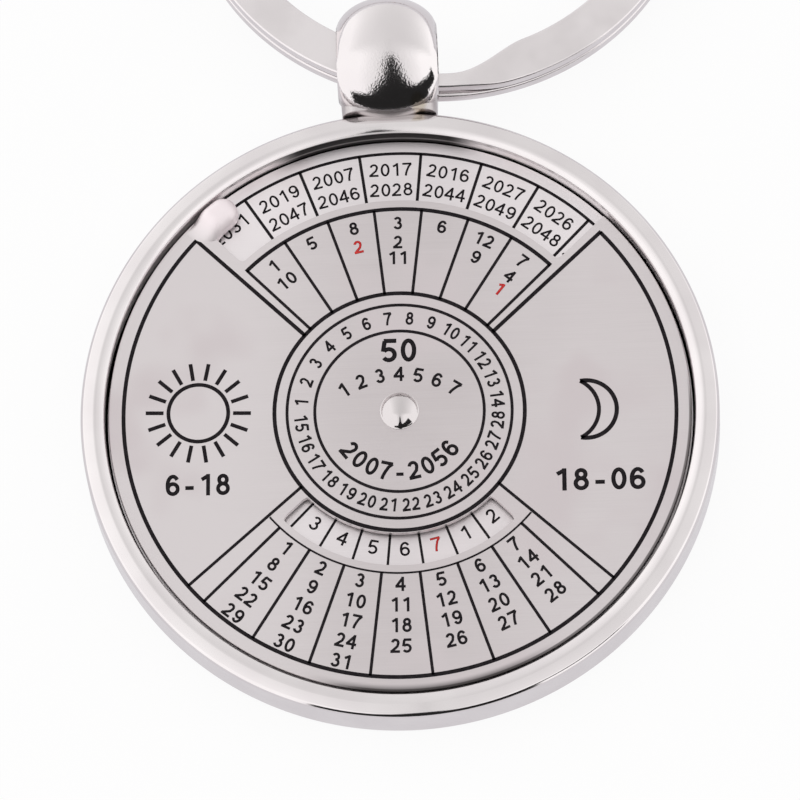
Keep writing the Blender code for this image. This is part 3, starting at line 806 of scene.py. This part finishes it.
# %% Print on the disc
YEARS = (
    ((2031,), (2008, 2036), (2014, 2042), (2025, 2053)),
    ((2019, 2047), (2013, 2041), (2024, 2052), (2030,)),
    ((2007, 2046), (2012, 2040), (2018, 2029), (2035,)),
    ((2017, 2028), (2023, 2051), (2034, 2045), (2056,)),
    ((2016, 2044), (2011, 2039), (2022, 2050), (2033,)),
    ((2027, 2049), (2010, 2038), (2021, 2032), (2055,)),
    ((2026, 2048), (2009, 2037), (2015, 2043), (2020, 2054)),
)
FIRST_YEAR_CELL, FIRST_DAY_CELL = 128.81, 218.81
YEAR_RING, THIN_PEN = 17.56 * MM, 0.15
black, red = [ink_arc(YEAR_RING, 0, 360, FINE, face=DISC_TOP)], []
for column in range(28):
    angle = FIRST_YEAR_CELL - column * PITCH
    edge = angle - PITCH / 2
    black.append(ink_bar(at(13.6 * MM, edge), at(YEAR_RING, edge), FINE, DISC_TOP))
    for year, radius in zip(YEARS[column % 7][column // 7], (16.47 * MM, 15.1 * MM)):
        black += ink_row(str(year), radius, angle, 0.87 * MM, 1.035, face=DISC_TOP, pen=THIN_PEN)
    angle = FIRST_DAY_CELL + column * PITCH
    edge = angle + PITCH / 2
    black.append(ink_bar(at(7.5 * MM, edge), at(10.5 * MM, edge), 0.16 * MM, DISC_TOP))
    day = (column + 1) % 7 + 1
    bucket = red if day == 7 else black
    bucket += ink_row(str(day), 8.83 * MM, angle, 0.92 * MM, 1.04, inward=True, face=DISC_TOP,
                      pen=THIN_PEN)
disc_black = bind("disc_print_black", black)
disc_red = bind("disc_print_red", red)

# %% [markdown]
# ## Finishes
#
# Each finish is a small network of shader nodes. So that its arithmetic can be read, a socket
# is wrapped in a class on which Python's own operators add Math nodes.

# %% Wrap shader sockets


class Wire:
    """A socket that adds Math nodes when Python does arithmetic with it."""

    def __init__(self, paint, socket):
        self.paint = paint
        self.socket = socket

    def maths(self, operation, *values):
        return self.paint.node("ShaderNodeMath", {"operation": operation}, dict(enumerate(values)))

    def __add__(self, other):
        return self.maths("ADD", self, other)

    def __radd__(self, other):
        return self.maths("ADD", other, self)

    def __sub__(self, other):
        return self.maths("SUBTRACT", self, other)

    def __rsub__(self, other):
        return self.maths("SUBTRACT", other, self)

    def __mul__(self, other):
        return self.maths("MULTIPLY", self, other)

    def __rmul__(self, other):
        return self.maths("MULTIPLY", other, self)

    def __truediv__(self, other):
        return self.maths("DIVIDE", self, other)

    def __abs__(self):
        return self.maths("ABSOLUTE", self)

    def root(self):
        return self.maths("SQRT", self)

    def rise(self, low, high):
        """0 below low, 1 above high, and a smooth rise between them."""
        settings = {"interpolation_type": "SMOOTHSTEP"}
        sockets = {"Value": self, "From Min": low, "From Max": high}
        return self.paint.node("ShaderNodeMapRange", settings, sockets)


class Paint:
    """A node tree that is being filled."""

    def __init__(self, tree):
        self.tree = tree

    def node(self, kind, settings, sockets, output=0):
        """Add a node: its settings first, then the value or link of each socket."""
        made = self.tree.nodes.new(kind)
        for name, value in settings.items():
            setattr(made, name, value)
        for name, value in sockets.items():
            self.feed(made.inputs[name], value)
        return Wire(self, made.outputs[output])

    def feed(self, target, value):
        """Link a wire to a socket, or set the socket's number or colour."""
        if isinstance(value, Wire):
            self.tree.links.new(value.socket, target)
        else:
            target.default_value = value

    def coordinates(self, output="Object", scale=(1, 1, 1)):
        """Object or UV coordinates, stretched."""
        raw = self.node("ShaderNodeTexCoord", {}, {}, output)
        return self.node("ShaderNodeMapping", {}, {"Vector": raw, "Scale": scale})

    def noise(self, where, scale=1.0, detail=2.0, roughness=0.5):
        """Cloudy noise from 0 to 1."""
        sockets = {"Vector": where, "Scale": scale, "Detail": detail, "Roughness": roughness}
        return self.node("ShaderNodeTexNoise", {}, sockets)

    def parts(self, vector):
        """The X, Y and Z of a vector."""
        split = self.node("ShaderNodeSeparateXYZ", {}, {"Vector": vector}).socket.node
        return [Wire(self, split.outputs[axis]) for axis in "XYZ"]

    def mix(self, share, first, second):
        """One colour turning into another."""
        sockets = {"Factor": share, 6: (*first, 1.0) if isinstance(first, tuple) else first,
                   7: (*second, 1.0) if isinstance(second, tuple) else second}
        return self.node("ShaderNodeMix", {"data_type": "RGBA"}, sockets, 2)

    def bump(self, height, distance, strength=1.0):
        """A normal from a height."""
        sockets = {"Height": height, "Distance": distance, "Strength": strength}
        return self.node("ShaderNodeBump", {}, sockets)

    def surface(self, colour, rough, normal):
        """Feed the shader's colour, roughness and normal."""
        for name, value in (("Base Color", colour), ("Roughness", rough), ("Normal", normal)):
            self.feed(self.shader.inputs[name], value)


def new_finish(name, constants):
    """A material with its paint, and the numbers that are the same all over it."""
    material = bpy.data.materials.new(name)
    material.use_nodes = True
    paint = Paint(material.node_tree)
    paint.shader = material.node_tree.nodes["Principled BSDF"]
    for socket, value in constants.items():
        paint.shader.inputs[socket].default_value = value
    return material, paint


# %% [markdown]
# ** Polished plating.** Bright, faintly pink nickel. A mirror finish still has a slow waviness
# from buffing and a fine grain. Polishing doesn't reach the floor of the well, which stays dull
# and is painted near black, a painted shade that draws the dark line round the plate. The well's
# wall beside the bail is painted dark as painted shade, with a paler painted line across it, the
# bail's foot is painted darker as painted shade, and the pin's head is painted darker as a
# painted dark reflection. Solder shows as a yellowish trace on one side of the bail's foot.

# %% Polished plating


def plating_finish(name, wavy, grain, masks):
    """Mirror plating of a given waviness and grain; masks add dulling, painted shade and solder.
    """
    material, paint = new_finish(name, {"Metallic": 1.0})
    place = paint.coordinates()
    cloud = paint.noise(place, 260.0, 2.0)
    wave = paint.noise(place, 420.0, 1.0)
    fine = paint.noise(place, 8000.0, 1.0)
    dull_and_shaded, soft, dark, solder = masks(*paint.parts(place))
    tone = paint.mix(cloud.rise(0.3, 0.7), (0.80, 0.765, 0.77), (0.85, 0.82, 0.82))
    tone = paint.mix(dark, tone, (0.57, 0.535, 0.535))
    tone = paint.mix(solder, tone, (0.60, 0.52, 0.40))
    # Near black where the first mask lies: painted shade in the well.
    paint.surface(paint.mix(dull_and_shaded, tone, (0.02, 0.018, 0.018)),
                  0.06 + 0.05 * cloud + 0.5 * dull_and_shaded + 0.2 * soft,
                  paint.bump(wave + grain * fine, 0.01 * MM, wavy))
    return material


def well_mask(x, y, z):
    """Painted shade on the well's floor and wall, the rim's soft edge, and a painted dark
    reflection on the pin.
    """
    radius = (x * x + y * y).root()
    # Painted shade: the wall beside the bail is darkened, with a paler painted line across it.
    shaded_wall = (1 - abs(x + 1.0 * MM).rise(4.6 * MM, 7.0 * MM)) * y.rise(0, MM)
    stripe = z.rise(2.28 * MM, 2.36 * MM) * (1 - z.rise(2.50 * MM, 2.58 * MM))
    # Painted shade: the dull floor of the well, reaching higher up the wall away from the bail.
    level = z - 0.65 * MM * (1 - y.rise(2 * MM, 9 * MM))
    deep = 1 - level.rise(1.95 * MM, 2.0 * MM)
    well = 1 - (1 - deep) * (1 - shaded_wall * (0.95 - 0.25 * stripe))
    well = well * (1 - radius.rise(18.50 * MM, 18.53 * MM))
    edge = 1 - abs(radius - 18.5 * MM).rise(0.10 * MM, 0.14 * MM)
    # The pin's head is painted darker, a painted dark reflection.
    head = 1 - radius.rise(1.3 * MM, 1.5 * MM)
    return well * (1 - head), edge, 0.5 * head, 0.0


def foot_mask(x, y, z):
    """The bail's soldered foot, rougher and painted darker as painted shade, with a yellowish
    trace of solder on the right.
    """
    # The foot is painted darker as painted shade where it meets the case.
    foot = (1 - y.rise(20.5 * MM, 20.9 * MM)) * (1 - z.rise(3.5 * MM, 3.9 * MM))
    along, across = x - 1.9 * MM, y - 20.25 * MM
    trace = 1 - (along * along + across * across).rise(0.05 * MM * MM, 0.4 * MM * MM)
    return 0.0, foot, foot, 0.7 * trace


plating = plating_finish("polished_plating", 0.12, 0.0, well_mask)
bail_plating = plating_finish("bail_plating", 0.3, 1.5, foot_mask)

# %% [markdown]
# ** Satin steel.** The face is brushed from side to side. Noise that is stretched along X and
# squeezed along Y gives fine lines, and a broad one gives faint warmer patches. A painted light
# gradient makes it palest at the left and darker down the middle. The tab is painted paler, a
# painted sheen that fades into the face at its root. Along the plate's edge at the lower right a
# painted dark reflection lies as a soft band at the bottom that narrows to a line on the right.

# %% Satin steel


def edge_grime(x, y):
    """Where the plate's edge is painted dark, a painted reflection: a soft band at the bottom and
    a thin line up to the right.
    """
    radius = (x * x + y * y).root()
    bottom = (-1 * y / radius).rise(0.84, 0.96) * ((x + 5 * MM) / radius).rise(-0.10, 0.15)
    right = ((0.643 * x - 0.766 * y) / radius).rise(0.55, 0.68)
    band = 0.80 * bottom * radius.rise(PLATE_RADIUS - 0.55 * MM, PLATE_RADIUS - 0.05 * MM)
    line = 0.75 * right * radius.rise(PLATE_RADIUS - 0.20 * MM, PLATE_RADIUS - 0.13 * MM)
    return 1 - (1 - band) * (1 - line)


def satin_finish(name, dark, light, warm, grain, painted_sheen=None, edge_painted=False):
    """Brushed metal between two colours with warmer patches and a painted light gradient, paler
    where a painted sheen lies.
    """
    material, paint = new_finish(name, {"Metallic": 1.0})
    place = paint.coordinates()
    fine = paint.noise(paint.coordinates(scale=(220, 14000, 400)), 1.0, 3.0, 0.6)
    band = paint.noise(paint.coordinates(scale=(60, 1500, 60)), 1.0, 2.0)
    cloud = paint.noise(place, 150.0, 2.0)
    x, y, _ = paint.parts(place)
    # Painted light: paler at the left and darker down the middle.
    painted_light = 0.45 * (1 - x.rise(-24 * MM, 24 * MM)) + 0.5 * abs(x).rise(0, 13 * MM)
    tone = (0.4 * fine + 0.15 * band + 0.35 * cloud + painted_light).rise(0.30, 1.30)
    steel = paint.mix(tone, dark, light)
    steel = paint.mix(cloud.rise(0.52, 0.72), steel, warm)
    rough = 0.32 + 0.10 * fine + 0.06 * cloud
    if painted_sheen:
        # The tab is painted paler and rougher towards its tip, a painted sheen.
        raised = (0.731 * x + 0.682 * y).rise(-1.1 * MM, 0.7 * MM)
        steel = paint.mix(raised, steel, painted_sheen)
        rough = rough + 0.22 * raised
    if edge_painted:
        # The plate's edge is painted dark, a painted reflection.
        steel = paint.mix(edge_grime(x, y), steel, (0.05, 0.045, 0.045))
    paint.surface(steel, rough, paint.bump(fine + 0.4 * band, 0.004 * MM, grain))
    return material


FACE_TONES = (0.62, 0.575, 0.58), (0.76, 0.72, 0.725), (0.70, 0.645, 0.655)
# The face carries the painted dark reflection along its edge.
face_finish = satin_finish("satin_face", *FACE_TONES, 0.25, edge_painted=True)
disc_finish = satin_finish("satin_disc", (0.76, 0.72, 0.73), (0.92, 0.88, 0.89),
                           (0.86, 0.80, 0.81), 0.2)
# The tab's paler colour is a painted sheen.
tab_finish = satin_finish("satin_tab", *FACE_TONES, 0.15, (0.965, 0.90, 0.915))
washer_finish = satin_finish("washer_steel", (0.42, 0.42, 0.42), (0.55, 0.55, 0.55),
                             (0.52, 0.50, 0.48), 0.5)
print("satin finishes made")

# %% [markdown]
# **Ring steel.** Drawn wire keeps lines along its length. The ring's own map runs along the
# wire, so the stretched noise follows the coils.

# %% Ring steel
ring_finish, paint = new_finish("ring_steel", {"Metallic": 1.0})
drawn = paint.noise(paint.coordinates("UV", scale=(120, 60, 1)), 1.0, 2.0)
wave = paint.noise(paint.coordinates(), 330.0, 2.0)
paint.surface(paint.mix(wave.rise(0.3, 0.7), (0.79, 0.755, 0.76), (0.87, 0.835, 0.84)),
              0.14 + 0.08 * drawn + 0.04 * wave,
              paint.bump(wave + 0.1 * drawn, 0.012 * MM, 0.4))

# %% [markdown]
# **Ink.** Printed ink isn't evenly black: it is slightly thinner here and there, and its film
# follows the brushed face below it.

# %% Inks


def ink_finish(name, thin, full):
    """Printed ink between its colour where it is thin and where it is full."""
    material, paint = new_finish(name, {"Metallic": 0.0, "Specular IOR Level": 0.12})
    patch = paint.noise(paint.coordinates(), 2600.0, 3.0)
    film = paint.noise(paint.coordinates(scale=(900, 6000, 900)), 1.0, 2.0)
    paint.surface(paint.mix(patch.rise(0.3, 0.65), thin, full), 0.42 + 0.2 * film,
                  paint.bump(film, 0.003 * MM, 0.5))
    return material


black_ink = ink_finish("black_ink", (0.016, 0.013, 0.015), (0.008, 0.006, 0.008))
red_ink = ink_finish("red_ink", (0.68, 0.06, 0.05), (0.55, 0.03, 0.03))
print("inks made")

# %% [markdown]
# ## Put the finishes on and let the pieces ride
#
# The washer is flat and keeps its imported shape, and only gets a finish.

# %% Dress the pieces


def coat(piece, finish):
    """Give a piece its finish."""
    piece.data.materials.clear()
    piece.data.materials.append(finish)


def dress(piece, finish, body, slot, *stands_for):
    """Give a piece its finish and its body, and hide the solid it stands for; slot is not used."""
    coat(piece, finish)
    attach(piece, body)
    if stands_for:
        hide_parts(*stands_for)


dress(case, plating, "case_body", "polished_plating", "case")
dress(bail, bail_plating, "case_body", "polished_plating", "bail")
dress(pin, plating, "case_body", "polished_plating", "centre_pin")
dress(plate, face_finish, "plate", "satin_face", "face_plate")
dress(tab, tab_finish, "plate", "satin_face")
for piece, ink in (plate_black, black_ink), (plate_red, red_ink):
    dress(piece, ink, "plate", "satin_face")
for piece, ink in (disc_black, black_ink), (disc_red, red_ink):
    dress(piece, ink, "case_body", "satin_disc")
dress(ring, ring_finish, "ring", "ring_steel", "split_ring")
dress(disc, disc_finish, "case_body", "satin_disc", "year_disc")
coat(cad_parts["friction_washer"], washer_finish)

# %% [markdown]
# ## Light, floor and camera
#
# Polished metal shows its surroundings, so the surroundings are designed: a pale tent, brighter
# at its sides and on the left, with a dark opening towards the viewer. The opening is a narrow
# slit that ends in a point high up, and below it a dark floor line that climbs to the right.
# The world's glow depends only on the direction, and the camera sees it plain white.

# %% The tent
world = bpy.data.worlds.new("tent")
bpy.context.scene.world = world
world.use_nodes = True
paint = Paint(world.node_tree)
side, front, up = paint.parts(paint.node("ShaderNodeTexCoord", {}, {}, "Generated"))
near = -1 * front
narrow = (0.10 + 0.10 * (1 - up.rise(0.40, 0.75))) * (1 - up.rise(0.86, 0.97)) * near
slit = (narrow - abs(side - 0.02 * near)).rise(-0.008, 0.012) * near.rise(0.02, 0.10)
slant = (0.46 + 0.32 * side - up).rise(-0.012, 0.02)
slant = slant * (side + 0.5 * near).rise(0.0, 0.05) * (1.5 * near - side).rise(0.0, 0.05)
slant = slant * (1 - (1 - up.rise(0.20, 0.26)) * (side - 0.55 * near).rise(0.0, 0.05))
opening = 1 - (1 - slit) * (1 - slant)
glow = 0.815 + 0.63 * side * side + 1.0 * abs(side) * near.rise(0.04, 0.38) - 0.173 * side
glow = glow + 0.05 * (1 - up)
glow = glow.maths("MINIMUM", glow, 1.16)
tent = glow * (1 - opening) + 0.02 * opening
camera_ray = paint.node("ShaderNodeLightPath", {}, {}, "Is Camera Ray")
strength = tent * (1 - camera_ray) + camera_ray
background = world.node_tree.nodes["Background"]
paint.feed(background.inputs["Color"], (1.0, 0.985, 0.985, 1.0))
paint.feed(background.inputs["Strength"], strength)

# %% Floor
start_clean()
bpy.ops.mesh.primitive_plane_add(size=3, location=(0, 0, -0.02 * MM))
floor = settle(bpy.context.object, "floor")
paper, paint = new_finish("white_paper", {"Roughness": 0.9})
paint.feed(paint.shader.inputs["Base Color"], (0.95, 0.95, 0.95, 1.0))
seen = paint.node("ShaderNodeLightPath", {}, {}, "Is Camera Ray").socket.node
camera_ray, glossy, through = (Wire(paint, seen.outputs[f"Is {kind} Ray"])
                               for kind in ("Camera", "Glossy", "Transmission"))
mirrored = (glossy + through).rise(0, 1)
white = paint.node("ShaderNodeEmission", {}, {"Color": (1, 1, 1, 1), "Strength": 1.0})
grey = paint.node("ShaderNodeEmission", {}, {"Color": (0.985, 0.965, 1, 1), "Strength": 0.75})
lit = Wire(paint, paint.shader.outputs["BSDF"])
both = paint.node("ShaderNodeMixShader", {}, {0: camera_ray * 0.9, 1: lit, 2: white})
both = paint.node("ShaderNodeMixShader", {}, {0: mirrored * 0.85, 1: both, 2: grey})
paint.feed(paper.node_tree.nodes["Material Output"].inputs["Surface"], both)
floor.data.materials.append(paper)

# %% [markdown]
# The camera looks down at the calendar from the front, as the photograph's did: nearly from
# above, with a long lens, so that the circles hardly taper.

# %% Camera
view = bpy.data.cameras.new("camera")
view.lens = 242.75
view.sensor_width = 36
camera = bpy.data.objects.new("camera", view)
bpy.context.scene.collection.objects.link(camera)
camera.matrix_world = Matrix(((0.99876, 0.04238, 0.02589, 0.00878977),
                              (-0.03159, 0.94435, -0.32739, -0.10974414),
                              (-0.03833, 0.3262, 0.9445, 0.32136),
                              (0, 0, 0, 1)))
bpy.context.scene.camera = camera
bpy.context.scene.view_settings.view_transform = "Standard"
